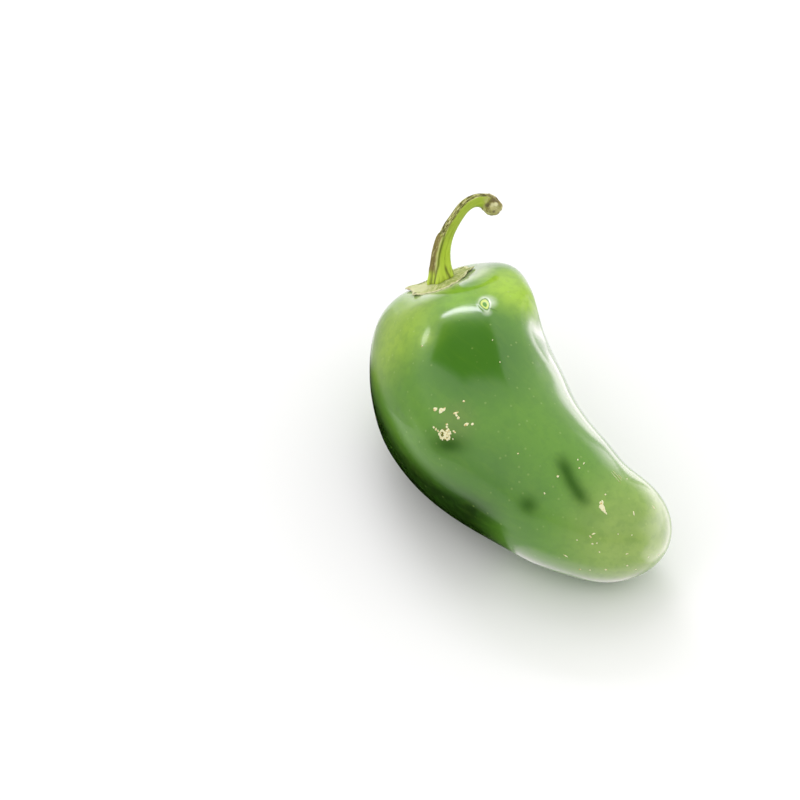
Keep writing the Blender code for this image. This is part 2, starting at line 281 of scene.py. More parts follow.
def stretch(values, rise, fall):
    """1 between a rise and a fall, each given by where it starts and ends, and 0 outside them."""
    return smooth_step(values, *rise) * (1 - smooth_step(values, *fall))


def bell(values, width):
    """1 where a value is 0, fading to 0 over a width on both sides."""
    return np.exp(-(values / width) ** 2)


def waves(points, size, shift=0.0):
    """Smooth noise from -1 to 1 whose waves are about size long, at each point."""
    return np.array([noise.noise(Vector(p / size) + Vector((shift, shift, shift))) for p in points])


def tree_of(mesh):
    """What a line of sight can be tested against."""
    return BVHTree.FromPolygons([v.co for v in mesh.vertices], [p.vertices for p in mesh.polygons])


def camera_axes():
    """The camera's right, up and back."""
    stage = bpy.context.scene.jalapeno_stage
    a, e = stage.azimuth, stage.elevation
    right = Vector((math.cos(a), math.sin(a), 0))
    back = Vector((math.sin(a) * math.cos(e), -math.cos(a) * math.cos(e), math.sin(e)))
    return right, back.cross(right), back


def camera_place():
    stage = bpy.context.scene.jalapeno_stage
    return Vector(stage.aim) + camera_axes()[2] * stage.distance


def sight(pixel):
    """The direction in which the camera sees a pixel of the photograph."""
    right, up, back = camera_axes()
    focal = bpy.context.scene.jalapeno_stage.lens * MM / SENSOR * IMAGE_SIZE
    x, y = pixel[0] - IMAGE_SIZE / 2, IMAGE_SIZE / 2 - pixel[1]
    return right * x + up * y - back * focal


def seen_at(tree, pixel):
    """Where the camera sees a surface at a pixel of the photograph: its place and normal."""
    place, normal, _, _ = tree.ray_cast(camera_place(), sight(pixel).normalized())
    if place is None:
        raise RuntimeError(f"no surface is seen at pixel {pixel}")
    return place, normal


def aim_at_height(pixel, height):
    """The place at a height above the floor that the camera sees at a pixel."""
    way, start = sight(pixel), camera_place()
    return start + way * ((height - start.z) / way.z)


def leaning(normal, degrees):
    """The direction along a surface that leans by these degrees in the picture."""
    right, up, _ = camera_axes()
    a = math.radians(degrees)
    along = right * math.cos(a) + up * math.sin(a)
    return (along - normal * along.dot(normal)).normalized()


def axes_at(spot):
    """Directions at a spot of a surface: level in the picture, across that, and outwards."""
    normal = spot[1]
    along = leaning(normal, 0)
    return np.array([along, normal.cross(along), normal])


def seen_from(points, spot):
    """The points as measured from a spot, along its own directions."""
    return (points - np.array(spot[0])) @ axes_at(spot).T


def oval(points, spot, half_long, half_wide):
    """1 at a spot and fading to 0 over an oval round it."""
    away = seen_from(points, spot) / (half_long, half_wide, half_long)
    return np.exp(-(away ** 2).sum(1))


def line_distance(points, line):
    """The distance from each point to a line of several places, and how far along it lies, from 0 to 1."""
    best = np.full(len(points), np.inf)
    share_along = np.zeros(len(points))
    for i in range(len(line) - 1):
        start, run = np.array(line[i]), np.array(line[i + 1] - line[i])
        t = np.clip((points - start) @ run / (run @ run), 0, 1)
        gap = np.linalg.norm(points - start - t[:, None] * run, axis=1)
        nearer = gap < best
        best[nearer] = gap[nearer]
        share_along[nearer] = (i + t[nearer]) / (len(line) - 1)
    return best, share_along


def flat_of(points):
    """The middle of a flat piece, and its upward normal."""
    centre = points.mean(0)
    normal = np.linalg.svd(points - centre, full_matrices=False)[2][2]
    return centre, normal * (1 if normal[2] > 0 else -1)


def polar(points, centre, normal):
    """Each point's distance from the middle along a flat piece, its angle and its height."""
    side = np.cross(normal, (0.0, 0.0, 1.0))
    side /= np.linalg.norm(side)
    other = np.cross(normal, side)
    away = points - centre
    u, v = away @ side, away @ other
    return np.hypot(u, v), np.arctan2(v, u), away @ normal


def pulled(points, height, pull):
    """How far a pull seen in the picture moves each point, for a place at a height above the floor."""
    pixel, reach, to_right, to_up = pull
    right, up, back = camera_axes()
    away = points - np.array(aim_at_height(pixel, height))
    away -= np.outer(away @ np.array(back), np.array(back))
    strength = bell(np.linalg.norm(away, axis=1), reach * MM)
    return np.outer(strength, np.array((right * to_right + up * to_up) * MM))


def calyx_middle():
    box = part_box("calyx")
    return (box[0] + box[1]) / 2


# How far round a refined spot the smooth patch is fitted and held, as shares of its reach.
PATCH_FIT = 1.5
PATCH_HOLD = (0.75, 1.0)
PATCH_DEGREE = 4


def patch_terms(local):
    """The terms of a smooth patch at places along and across it."""
    u, v = local[:, 0], local[:, 1]
    count = PATCH_DEGREE + 1
    return np.stack([u ** i * v ** j for i in range(count) for j in range(count - i)], axis=1)


def refine_patch(piece, spot, reach, cuts):
    """Divides the faces round a spot more finely, and lays the new points on one smooth patch."""
    local = seen_from(points_of(piece.data), spot) / reach
    near = local[np.linalg.norm(local, axis=1) < PATCH_FIT]
    fit = np.linalg.lstsq(patch_terms(near), near[:, 2], rcond=None)[0]
    alone(piece)
    bpy.ops.object.mode_set(mode="EDIT")
    bpy.ops.mesh.select_mode(type="FACE")
    bpy.ops.mesh.select_all(action="DESELECT")
    bpy.ops.object.mode_set(mode="OBJECT")
    for face in piece.data.polygons:
        face.select = (face.center - spot[0]).length < reach
    bpy.ops.object.mode_set(mode="EDIT")
    bpy.ops.mesh.subdivide(number_cuts=cuts, ngon=False)
    bpy.ops.object.mode_set(mode="OBJECT")
    local = seen_from(points_of(piece.data), spot) / reach
    distance = np.linalg.norm(local, axis=1)
    inside = distance < 1
    height = patch_terms(local[inside]) @ fit
    hold = 1 - smooth_step(distance[inside], *PATCH_HOLD)
    local[inside, 2] += (height - local[inside, 2]) * hold
    set_points(piece.data, local * reach @ axes_at(spot) + np.array(spot[0]))


# The round scar: half its width and height, and its parts as shares of these from its middle outwards.
RING_PATCH = 2.8 * MM
RING_CUTS = 4
RING_HALF = (0.86 * MM, 1.38 * MM)
RING_LEAN = 0.3
RING_POINT = 0.35
RING_LOWEST = 1.5
RING_BOWL = 1.9
RING_BOWL_DEPTH = 0.025 * MM
RING_RIM = 1.3
RING_RIM_WIDTH = 0.3
RING_PIT = 0.8
TAIL = ((489.3, 308.3), (492.5, 309), (496.5, 310.8))
TAIL_HALF = 0.14 * MM
TAIL_FADE = 0.6


def ring_distance(points, spot):
    """The distance from the middle of the round scar, which is drawn out to a point below."""
    u, v, w = (seen_from(points, spot) / (RING_HALF[0], RING_HALF[1], RING_HALF[0])).T
    low = np.clip(-v, 0, RING_LOWEST)
    u = (u - RING_LEAN * low) * (1 + RING_POINT * low)
    return np.sqrt(u * u + v * v + w * w)


def ring_profile(distance, height):
    """A shallow bowl with a raised rim and a pit inside it."""
    bowl = RING_BOWL_DEPTH * bell(distance, RING_BOWL)
    rim = height * bell(distance - RING_RIM, RING_RIM_WIDTH)
    pit = height * bell(distance ** 2, RING_PIT ** 2)
    return rim - bowl - pit


# The skin's waves and how far they set in above the flats, then its dents and the seat of the calyx.
SLOW_WAVE = 11 * MM
SHORT_WAVE = 3.5 * MM
SHORT_SHARE = 0.2
SHORT_SHIFT = 7.0
FLAT_FADE = (0.4 * MM, 3 * MM)
DENT_HALF = (3.5 * MM, 1.7 * MM)
DIMPLE_HALF = (1.7 * MM, 1.7 * MM)
# DIMPLE_DARK is the share of painted shade in the dimple.
DIMPLE_DARK = 0.9
CREASE_HALF = 1.35 * MM
CREASE_RISE = (0, 0.35)
CREASE_FALL = (0.72, 1.06)
SEAT_FADE = (5.5 * MM, 11 * MM)
SEAT_DEPTH = -8 * MM


def make_pod_skin():
    """The whole fruit's skin: the CAD pod rounded, with its waves, dents, crease and round scar."""
    s = bpy.context.scene.jalapeno_pod
    piece = merged_copy("pod", "pod_skin")
    subdivide(piece)
    tree = tree_of(piece.data)
    ring, dent, dimple = [seen_at(tree, pixel) for pixel in (RING_SCAR, MAIN_DENT, ROUND_DIMPLE)]
    crease, tail = [[seen_at(tree, pixel)[0] for pixel in line] for line in (CREASE, TAIL)]
    refine_patch(piece, ring, RING_PATCH, RING_CUTS)
    points, normals = points_of(piece.data), normals_of(piece.data)
    lift = s.undulation * (
        waves(points, SLOW_WAVE) + SHORT_SHARE * waves(points, SHORT_WAVE, SHORT_SHIFT)
    )
    lift *= smooth_step(points[:, 2], *FLAT_FADE)
    dent_share = oval(points, dent, *DENT_HALF)
    dimple_share = oval(points, dimple, *DIMPLE_HALF)
    gap, along = line_distance(points, crease)
    crease_share = bell(gap, CREASE_HALF) * stretch(along, CREASE_RISE, CREASE_FALL)
    lift -= s.dent * dent_share + s.dimple * dimple_share + s.crease * crease_share
    from_ring = ring_distance(points, ring)
    lift += ring_profile(from_ring, s.ring)
    seat, up = flat_of(points_of(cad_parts["calyx"].data))
    from_seat, _, over_seat = polar(points, seat, up)
    lift += s.seat_lift * (1 - smooth_step(from_seat, *SEAT_FADE)) * (over_seat > SEAT_DEPTH)
    for pixel, reach, height in OUTLINE_TOUCHES:
        away = points - np.array(seen_at(tree, pixel)[0])
        lift += height * MM * bell(np.linalg.norm(away, axis=1), reach * MM)
    set_points(piece.data, points + normals * lift[:, None])
    gap, along = line_distance(points, tail)
    tail_share = bell(gap, TAIL_HALF) * (1 - TAIL_FADE * along)
    # Painted shade for the dents, crease and dimple, and the thin dark tail by the round scar.
    dent_shade_and_tail = np.clip(dent_share + crease_share + DIMPLE_DARK * dimple_share + tail_share, 0, 1)
    keep(piece.data, "dent_shade_and_tail", dent_shade_and_tail)
    keep(piece.data, "ring", from_ring)
    piece.data.materials.append(waxy_skin(s, tree))
    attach(piece, BODY)
    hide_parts("pod")


# How much the tissue and its wax bend light, and how deep the flesh glows, by colour.
TISSUE_IOR = 1.45
WAX_IOR = 1.55
GLOW_DEPTH = 1.2 * MM
GLOW_TINT = (0.7, 1.0, 0.25)


def set_inputs(node, values):
    for name, value in values.items():
        node.inputs[name].default_value = value


def add_node(tree, kind, values=None, links=None, **settings):
    """Adds a node with its settings, the values of its inputs and the outputs linked to them."""
    made = tree.nodes.new(kind)
    for name, value in settings.items():
        setattr(made, name, value)
    set_inputs(made, values or {})
    for name, socket in (links or {}).items():
        tree.links.new(socket, made.inputs[name])
    return made


def new_material(name, roughness, specular=0.5):
    material = bpy.data.materials.new(name)
    material.use_nodes = True
    shader = material.node_tree.nodes["Principled BSDF"]
    set_inputs(shader, {"Roughness": roughness, "IOR": TISSUE_IOR, "Specular IOR Level": specular})
    return material, material.node_tree, shader


def per_length(millimetres):
    """The scale of a pattern whose marks are this far apart."""
    return 1 / (millimetres * MM)


def place_on(tree):
    """A socket with the place on the piece, in metres."""
    return add_node(tree, "ShaderNodeTexCoord").outputs["Object"]


def kept(tree, name, output="Fac"):
    """A socket with what the mesh keeps under a name."""
    return add_node(tree, "ShaderNodeAttribute", attribute_name=name).outputs[output]


def plain(tree, tint):
    """A socket with one even colour."""
    made = add_node(tree, "ShaderNodeRGB")
    made.outputs[0].default_value = (*tint, 1)
    return made.outputs[0]


def marks(tree, where, scale, detail, roughness=0.5):
    """A socket with soft noise from 0 to 1."""
    values = {"Scale": scale, "Detail": detail, "Roughness": roughness}
    return add_node(tree, "ShaderNodeTexNoise", values, {"Vector": where}).outputs["Fac"]


def drawn_out(tree, where, scale, turn=(0, 0, 0)):
    """A socket that draws a pattern out: the less the scale on an axis, the longer its marks."""
    values = {"Scale": scale, "Rotation": turn}
    return add_node(tree, "ShaderNodeMapping", values, {"Vector": where}).outputs[0]


def product(tree, first, *others):
    """Sockets multiplied together."""
    for other in others:
        links = {0: first, 1: other}
        first = add_node(tree, "ShaderNodeMath", links=links, operation="MULTIPLY").outputs[0]
    return first


def scaled(tree, value, first, last, start=0, end=1, curve="LINEAR"):
    """A socket that goes from first to last while a value goes from start to end."""
    values = {"From Min": start, "From Max": end, "To Min": first, "To Max": last}
    made = add_node(tree, "ShaderNodeMapRange", values, {"Value": value}, interpolation_type=curve)
    return made.outputs["Result"]


def above(tree, value, edge, soft):
    """A socket that is 1 where a value lies above a soft edge, and 0 below it."""
    return scaled(tree, value, 0, 1, edge - soft, edge + soft, "SMOOTHSTEP")


def below(tree, value, edge, soft):
    return scaled(tree, value, 1, 0, edge - soft, edge + soft, "SMOOTHSTEP")


def nearness(tree, here, place, inner, outer):
    """A socket that is 1 within inner millimetres of a place and 0 beyond outer millimetres."""
    away = add_node(tree, "ShaderNodeVectorMath", {1: place}, {0: here}, operation="DISTANCE")
    return scaled(tree, away.outputs["Value"], 1, 0, inner * MM, outer * MM, "SMOOTHSTEP")


def tinted(tree, base, tint, mask, strength):
    """Blends a colour socket towards a tint where a mask is 1, by a strength."""
    amount = add_node(tree, "ShaderNodeMath", {1: strength}, {0: mask}, operation="MULTIPLY").outputs[0]
    mix = add_node(tree, "ShaderNodeMix", {7: (*tint, 1)}, {0: amount, 6: base}, data_type="RGBA")
    return mix.outputs[2]


def layered(tree, base, layers):
    """Lays tints over a colour socket, each with its mask and strength."""
    for tint, mask, strength in layers:
        base = tinted(tree, base, tint, mask, strength)
    return base


def spotted(tree, base, here, surface, spots):
    """Tints round pixels of the photograph: pixel, tint, full and faded reach in mm, strength."""
    for pixel, tint, inner, outer, strength in spots:
        near = nearness(tree, here, seen_at(surface, pixel)[0], inner, outer)
        base = tinted(tree, base, tint, near, strength)
    return base


def bumpy(tree, shader, pattern, strength, depth):
    """Gives a finish bumps from a pattern, depth in millimetres."""
    values = {"Strength": strength, "Distance": depth * MM}
    made = add_node(tree, "ShaderNodeBump", values, {"Height": pattern})
    tree.links.new(made.outputs[0], shader.inputs["Normal"])


# The skin's patterns, in millimetres from mark to mark, and how the streaks are drawn out.
BLOTCHES = 5.5
MOTTLE = 1.5
STREAKS = 1.3
STREAK_SCALE = (0.12, 1, 1)
STREAK_TURN = (0, 0.3, 0)
PORES = 1.9
WOBBLE = 0.9
WOBBLE_SHARE = 0.4
SKIN_GRAIN = 0.5

# How much smoother and rougher than the rest the skin is in its blotches.
UNEVEN_GLOSS = (-0.06, 0.1)

# The painted shade, a dark green painted low on the shaded flank, lies below these places, in millimetres,
# with a soft edge.
SHADE_EDGES = (("Z", 18, 3), ("Y", -11, 4), ("X", 13.5, 4))

# The round scar's pale halo of painted highlight, yellow green ring, dark outline and dark middle:
# tint, start, end, softness and strength.
RING_TINTS = (
    ("DCE8C8", 1.34, 1.70, 0.16, 0.30), ("D2E078", 0.66, 1.10, 0.10, 0.85),
    ("437F14", 1.10, 1.28, 0.08, 0.85), ("4F9010", -1.0, 0.66, 0.12, 0.90),
)


def waxy_skin(s, surface):
    """Ripe green skin under natural wax: a clear coat gives the sharp streak, the flesh a soft glow."""
    material, tree, shader = new_material("waxy_green_skin", s.roughness, 0.1)
    set_inputs(shader, {
        "Coat Roughness": s.wax_roughness, "Coat IOR": WAX_IOR, "Sheen Roughness": 0.3,
        "Subsurface Weight": 0.12, "Subsurface Radius": GLOW_TINT, "Subsurface Scale": GLOW_DEPTH,
    })
    here = place_on(tree)
    crown = calyx_middle()

    # Uneven green in soft zones.
    skin = spotted(tree, plain(tree, s.mid_green), here, surface, (
        (LOW_FLANK, s.deep_green, 3, 17, 0.65),
        # Deeper green, partly painted shade over the dark mirrored patch.
        (DEEP_GREEN_AND_SHADE_MIDDLE, s.deep_green, 4, 14.5, 0.95),
        (TIP_GLOW, s.tip_green, 3, 18, 0.95),
        (SHOULDER_GLOW, s.shoulder_green, 3, 15, 0.95),
        # Painted highlight: a soft pale spot on the side.
        (PAINTED_SIDE_HIGHLIGHT, linear("B4CC58"), 0.2, 2.4, 0.28),
        (SEAT_GLOW, s.seat_green, 1.0, 6.5, 0.75),
        (LOBE_GLOW, s.lobe_green, 2.5, 9.5, 0.95),
        (STAIN, linear("6C7B3C"), 1, 5.5, 0.35),
        # Pale crown skin, partly painted sheen.
        (CROWN_SIDE, s.crown_pale_and_sheen, 0.5, 5, 0.9),
        (HEAP_BED, linear("8A6A20"), 0.6, 1.4, 0.75),
        # Painted highlight: pale halos round the round scar.
        (PAINTED_HIGHLIGHT_TOP, linear("EAF2E0"), 0.3, 2.4, 0.75),
        (PAINTED_HIGHLIGHT_FOOT, linear("EAF2E0"), 0.0, 1.3, 0.5),
    ))
    spread = add_node(tree, "ShaderNodeSeparateXYZ", links={0: here}).outputs
    # Where the shade is painted: low on the flank, below the edges above.
    shade = product(tree, *[
        below(tree, spread[axis], edge * MM, soft * MM) for axis, edge, soft in SHADE_EDGES
    ])

    # Blotches, a fine mottle, faint streaks along the fruit, and pale breathing pores that are
    # drawn a little larger than life so that they show. Painted shade darkens the dents, crease and
    # dimple; the thin tail by the round scar is a dark mark.
    blotches = marks(tree, here, per_length(BLOTCHES), 2)
    mottle = marks(tree, here, per_length(MOTTLE), 3, 0.6)
    streaks = marks(tree, drawn_out(tree, here, STREAK_SCALE, STREAK_TURN), per_length(STREAKS), 3)
    pores = add_node(tree, "ShaderNodeTexVoronoi", {"Scale": per_length(PORES)}, {"Vector": here})
    dent_shade_and_tail = kept(tree, "dent_shade_and_tail")
    skin = layered(tree, skin, (
        # Pale crown skin round the calyx, partly painted sheen.
        (s.crown_pale_and_sheen, nearness(tree, here, crown, 4, 10), 0.88),
        # Painted shade low on the flank.
        (s.painted_shade_green, shade, 0.92),
        (s.deep_green, above(tree, blotches, 0.56, 0.12), 0.20),
        (s.deep_green, above(tree, mottle, 0.54, 0.08), 0.14),
        (s.lobe_green, above(tree, streaks, 0.6, 0.1), 0.035),
        (linear("A9BE6A"), below(tree, pores.outputs["Distance"], 0.1, 0.05), 0.26),
        # Painted shade in the dents, crease and dimple, with the dark tail.
        (linear("274F0E"), dent_shade_and_tail, 0.85),
    ))

    # The wax is dull in the dents, round the calyx, inside the round scar and on the lobe's edge.
    ring = kept(tree, "ring")
    lobe_edge = seen_at(surface, LOBE_EDGE)[0]
    wax = product(tree, *[scaled(tree, mask, 1, least) for mask, least in (
        (dent_shade_and_tail, 0.1),
        (nearness(tree, here, crown, 4, 7.5), 0.45),
        (below(tree, ring, 1.05, 0.2), 0.15),
        (nearness(tree, here, lobe_edge, 2, 5.5), 0.2),
    )])
    tree.links.new(wax, shader.inputs["Coat Weight"])

    # A thin dusty bloom pales the skin where it turns away, but not where the shade is painted.
    tree.links.new(scaled(tree, shade, s.bloom, 0), shader.inputs["Sheen Weight"])

    # The round scar's tints follow its outline a little unevenly.
    wobble = marks(tree, here, per_length(WOBBLE), 1)
    links = {0: wobble, 2: ring}
    away = add_node(tree, "ShaderNodeMath", {1: WOBBLE_SHARE}, links, operation="MULTIPLY_ADD").outputs[0]
    for code, start, end, soft, strength in RING_TINTS:
        zone = product(tree, above(tree, away, start, soft), below(tree, away, end, soft))
        skin = tinted(tree, skin, linear(code), zone, strength)
    tree.links.new(skin, shader.inputs["Base Color"])
    uneven = scaled(tree, blotches, *[s.roughness + part for part in UNEVEN_GLOSS])
    tree.links.new(uneven, shader.inputs["Roughness"])
    bumpy(tree, shader, marks(tree, here, per_length(SKIN_GRAIN), 2), 0.25, 0.012)
    return material


# Millimetres from crumb to crumb of the cork.
CORK_GRAIN = 0.4


def dry_cork(s):
    """Cork that has closed a wound: dull, pale and crumbly, with older ochre parts."""
    material, tree, shader = new_material("dry_cork_scar", 0.82, 0.3)
    crumbs = marks(tree, place_on(tree), per_length(CORK_GRAIN), 3)
    cork = tinted(tree, plain(tree, s.cork), s.ochre, above(tree, crumbs, 0.59, 0.05), 0.8)
    tree.links.new(cork, shader.inputs["Base Color"])
    bumpy(tree, shader, crumbs, 0.6, 0.05)
    return material


# How uneven a crumb's outline is, and how large its waves are on the model crumb.
CRUMB_UNEVEN = 0.55
CRUMB_WAVE = 0.9


def crumb_at(model, place, normal, along, sizes, wobble):
    """A copy of the model crumb, flattened onto the skin, with an outline of its own."""
    crumb = model.copy()
    crumb.data = model.data.copy()
    bpy.context.scene.collection.objects.link(crumb)
    points = points_of(crumb.data)
    uneven = 1 + CRUMB_UNEVEN * waves(points, CRUMB_WAVE, wobble)
    points *= uneven[:, None] * np.array(sizes) / 2
    axes = np.array([along, normal.cross(along), normal])
    set_points(crumb.data, points @ axes + np.array(place))
    return crumb


# The large scar's lean, a scratch's width in millimetres, and the size of a pixel near the tip.
LARGE_SCAR_LEAN = 115
SCRATCH_WIDTH = 0.065
MM_PER_PIXEL = 0.18

# The heap's spread and unevenness in pixels, and the largest sizes of its crumbs in millimetres.
HEAP_SPREAD = (3.4, 2.6)
HEAP_UNEVEN = 0.3
LOOSE_CRUMB = 0.35
HEAP_CRUMB = 0.62

# A crumb's whole height is this many times what stands out of the skin, and its sizes and outline
# are drawn between these values.
WHOLE_HEIGHT = 2.6
OUTLINE_DRAW = (0, 50)
SIZE_DRAW = (0.6, 1)
HIDDEN_SIZE = (0.25, 0.6)
HIDDEN_WIDTH = (0.35, 0.8)

# Hidden flecks lie on faces that are turned this far from the camera, and not under the fruit.
TURNED_AWAY = 0.05
LOWEST_FLECK = 3 * MM


def seen_marks():
    """The marks that the photograph shows: pixel, length and width in millimetres, and lean."""
    found = [((x, y), long_mm, wide_mm, lean) for x, y, long_mm, wide_mm, lean in FLECKS]
    for pixel, (long_mm, wide_mm) in zip(LARGE_SCAR, LARGE_SCAR_SIZES):
        found.append((pixel, long_mm, wide_mm, LARGE_SCAR_LEAN))
    for start, end in SCRATCHES:
        run = Vector(end) - Vector(start)
        lean = math.degrees(math.atan2(-run.y, run.x))
        middle = tuple((Vector(start) + Vector(end)) / 2)
        found.append((middle, run.length * MM_PER_PIXEL, SCRATCH_WIDTH, lean))
    return found


def heap_places(draw, loose):
    """The pixels of the heap's crumbs, loose ones first, each with its largest size in millimetres."""
    (x, y), (wide, high) = CRUMB_HEAP, HEAP_SPREAD
    found = [(draw.gauss(x, wide), draw.gauss(y, high), LOOSE_CRUMB) for _ in range(loose)]
    for (x, y), wide, high, count in HEAP_OVALS:
        for i in range(count):
            a = 2 * math.pi * i / count
            across = wide * math.cos(a) + draw.gauss(0, HEAP_UNEVEN)
            found.append((x + across, y + high * math.sin(a), HEAP_CRUMB))
    return found


def make_scars():
    """Corky marks: the crumbly heap on the belly, the flecks towards the tip and those on the far side."""
    s = bpy.context.scene.jalapeno_scars
    draw = random.Random(s.seed)
    skin = bpy.data.objects["pod_skin"].data
    tree = tree_of(skin)
    bpy.ops.mesh.primitive_ico_sphere_add(subdivisions=2, radius=1)
    model = bpy.context.object
    crumbs = []

    def add(place, normal, along, long_mm, wide_mm):
        sizes = (long_mm * MM, wide_mm * MM, WHOLE_HEIGHT * s.height)
        crumbs.append(crumb_at(model, place, normal, along, sizes, draw.uniform(*OUTLINE_DRAW)))

    for pixel, long_mm, wide_mm, lean in seen_marks():
        place, normal = seen_at(tree, pixel)
        add(place, normal, leaning(normal, lean), long_mm, wide_mm)
    for x, y, largest in heap_places(draw, s.crumbs):
        place, normal = seen_at(tree, (x, y))
        size = largest * draw.uniform(*SIZE_DRAW)
        add(place, normal, leaning(normal, draw.uniform(0, 180)), size, size * draw.uniform(*SIZE_DRAW))
    back = camera_axes()[2]
    faces = [f for f in skin.polygons if f.normal.dot(back) < TURNED_AWAY and f.center.z > LOWEST_FLECK]
    for face in draw.sample(faces, s.hidden):
        size = draw.uniform(*HIDDEN_SIZE)
        along = face.normal.orthogonal().normalized()
        along.rotate(Matrix.Rotation(draw.uniform(0, math.pi), 3, face.normal))
        add(face.center, face.normal, along, size, size * draw.uniform(*HIDDEN_WIDTH))
    bpy.data.objects.remove(model)
    alone(crumbs[0])
    for crumb in crumbs:
        crumb.select_set(True)
    bpy.ops.object.join()
    piece = bpy.context.object
    piece.name = "cork_scars"
    piece.data.name = "cork_scars"
    bpy.ops.object.shade_smooth()
    piece.data.materials.clear()
    piece.data.materials.append(dry_cork(s))
    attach(piece, BODY)


# Places on the cap, as pixels of the photograph.
PALE_SIDE = (418, 289)
DRY_TOOTH = (408, 289)
DARK_TIP = (462, 268)
DARK_NICK = (415, 293)
TOOTH_FOOT = (412, 291)

# Pulls in the picture: pixel, reach, and how far to the right and up, in millimetres.
TOOTH_PULL = ((409, 291), 2.6, -0.65, 0.45)
KNOB_PULL = ((498, 210), 1.5, 0.45, 0.1)

# How the rim is laid down, in millimetres: its gap to the skin, its thickness, the longest move and
# how far away skin is looked for. Then the share of the move, and where it sets in: towards the rim,
# and from the tooth to the right, where it halves again.
CAP_GAP = 0.12
CAP_THICKNESS = 0.22
LONGEST_MOVE = 1.2
LONGEST_LOOK = 4
LAID_SHARE = 0.85
LAID_EDGE = (0.5, 0.95)
LAID_FROM = (0, 3)
LAID_HALVES = (9, 12)


def laid_down(points, top, edge):
    """Moves the cap's rim away from the camera until it lies just over the skin."""
    skin = tree_of(bpy.data.objects["pod_skin"].data)
    right, _, back = camera_axes()
    foot = np.array(aim_at_height(TOOTH_FOOT, points[:, 2].mean()))
    to_right = (points - foot) @ np.array(right) / MM
    hold = LAID_SHARE * smooth_step(edge, *LAID_EDGE) * smooth_step(to_right, *LAID_FROM)
    hold *= 1 - 0.5 * smooth_step(to_right, *LAID_HALVES)
    moves = np.zeros_like(points)
    for i in np.flatnonzero(hold > 0):
        _, _, _, gap = skin.ray_cast(Vector(points[i]), -back, LONGEST_LOOK * MM)
        if gap is not None:
            spare = gap - (CAP_GAP + CAP_THICKNESS * top[i]) * MM
            moves[i] = np.array(-back) * min(max(spare, 0), LONGEST_MOVE * MM) * hold[i]
    return moves


OUTLINE_BINS = 180


def reach_at(radius, angle):
    """How far the outline reaches at each point's angle."""
    place = ((angle + math.pi) / (2 * math.pi) * OUTLINE_BINS).astype(int) % OUTLINE_BINS
    reach = np.zeros(OUTLINE_BINS)
    np.maximum.at(reach, place, radius)
    reach = np.maximum.reduce([np.roll(reach, -1), reach, np.roll(reach, 1)])
    return reach[place]


# The cap's folds run out from its middle, so their waves follow its angle and radius. The crinkles
# and the ragged rim follow the place.
FOLD_SCALE = (2.5, 2.5, 0.35)
FOLD_WAVE = 0.8
FINE_FOLD_WAVE = 0.35
FINE_FOLD_SHARE = 0.4
CRINKLE_WAVE = 2.2 * MM
CRINKLE_SHARE = 0.6
RAGGED_WAVE = 0.45 * MM
RAGGED_SHARE = 0.06

# Where the cap's forms set in, as shares of the way out to its rim, and which faces are its top.
FOLDED = (0.3, 0.6)
CRINKLED = (0.35, 0.8)
THINNED = (0.45, 0.95)
RAGGED = (0.8, 0.98)
TOP_SIDE = (-0.2, 0.4)


def make_calyx_cap():
    """The papery cap: its crinkles, veins, thin ragged rim and withered tooth."""
    s = bpy.context.scene.jalapeno_calyx
    piece = merged_copy("calyx", "calyx_cap")
    subdivide(piece)
    points, normals = points_of(piece.data), normals_of(piece.data)
    centre, up = flat_of(points)
    radius, angle, height = polar(points, centre, up)
    edge = radius / reach_at(radius, angle)
    top = smooth_step(normals @ up, *TOP_SIDE)
    leaf = np.stack([np.cos(angle), np.sin(angle), radius / MM], axis=1) * FOLD_SCALE
    folds = waves(leaf, FOLD_WAVE) + FINE_FOLD_SHARE * waves(leaf, FINE_FOLD_WAVE, 3.0)
    crinkles = waves(points, CRINKLE_WAVE) * smooth_step(edge, *CRINKLED)
    lift = s.crinkle * (folds * smooth_step(edge, *FOLDED) + CRINKLE_SHARE * crinkles) - s.sink
    lift -= s.thin * top * smooth_step(edge, *THINNED)
    outward = (points - centre) - height[:, None] * up
    ragged = waves(points, RAGGED_WAVE, 9.0) * RAGGED_SHARE * smooth_step(edge, *RAGGED)
    points = points + up * lift[:, None] + outward * ragged[:, None]
    points += pulled(points, centre[2], TOOTH_PULL)
    points += laid_down(points, top, edge)
    set_points(piece.data, points)
    keep(piece.data, "edge", edge)
    keep(piece.data, "leaf", leaf)
    piece.data.materials.append(papery_cap(s))
    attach(piece, BODY)
    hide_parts("calyx")


def papery_cap(s):
    """Dry sepal tissue: matt and fibrous, olive cream, paler at its rim and brown where it withered."""
    material, tree, shader = new_material("papery_dry_calyx", 0.72, 0.35)
    veins = marks(tree, kept(tree, "leaf", "Vector"), 2.4, 2.5, 0.6)
    paper = layered(tree, plain(tree, s.paper), (
        (s.vein, above(tree, veins, 0.54, 0.06), 0.5),
        (s.rim, below(tree, veins, 0.43, 0.05), 0.35),
        (s.rim, above(tree, kept(tree, "edge"), 0.93, 0.05), 0.85),
    ))
    surface = tree_of(bpy.data.objects["calyx_cap"].data)
    paper = spotted(tree, paper, place_on(tree), surface, (
        (PALE_SIDE, linear("D2D3A6"), 1.5, 4.5, 0.7),
        (DRY_TOOTH, s.dry, 0.1, 0.9, 0.7),
        (DARK_TIP, linear("4A3F22"), 0.1, 0.55, 0.9),
        (DARK_NICK, linear("3E3A1C"), 0.15, 0.45, 0.85),
    ))
    tree.links.new(paper, shader.inputs["Base Color"])
    bumpy(tree, shader, veins, 0.35, 0.06)
    return material


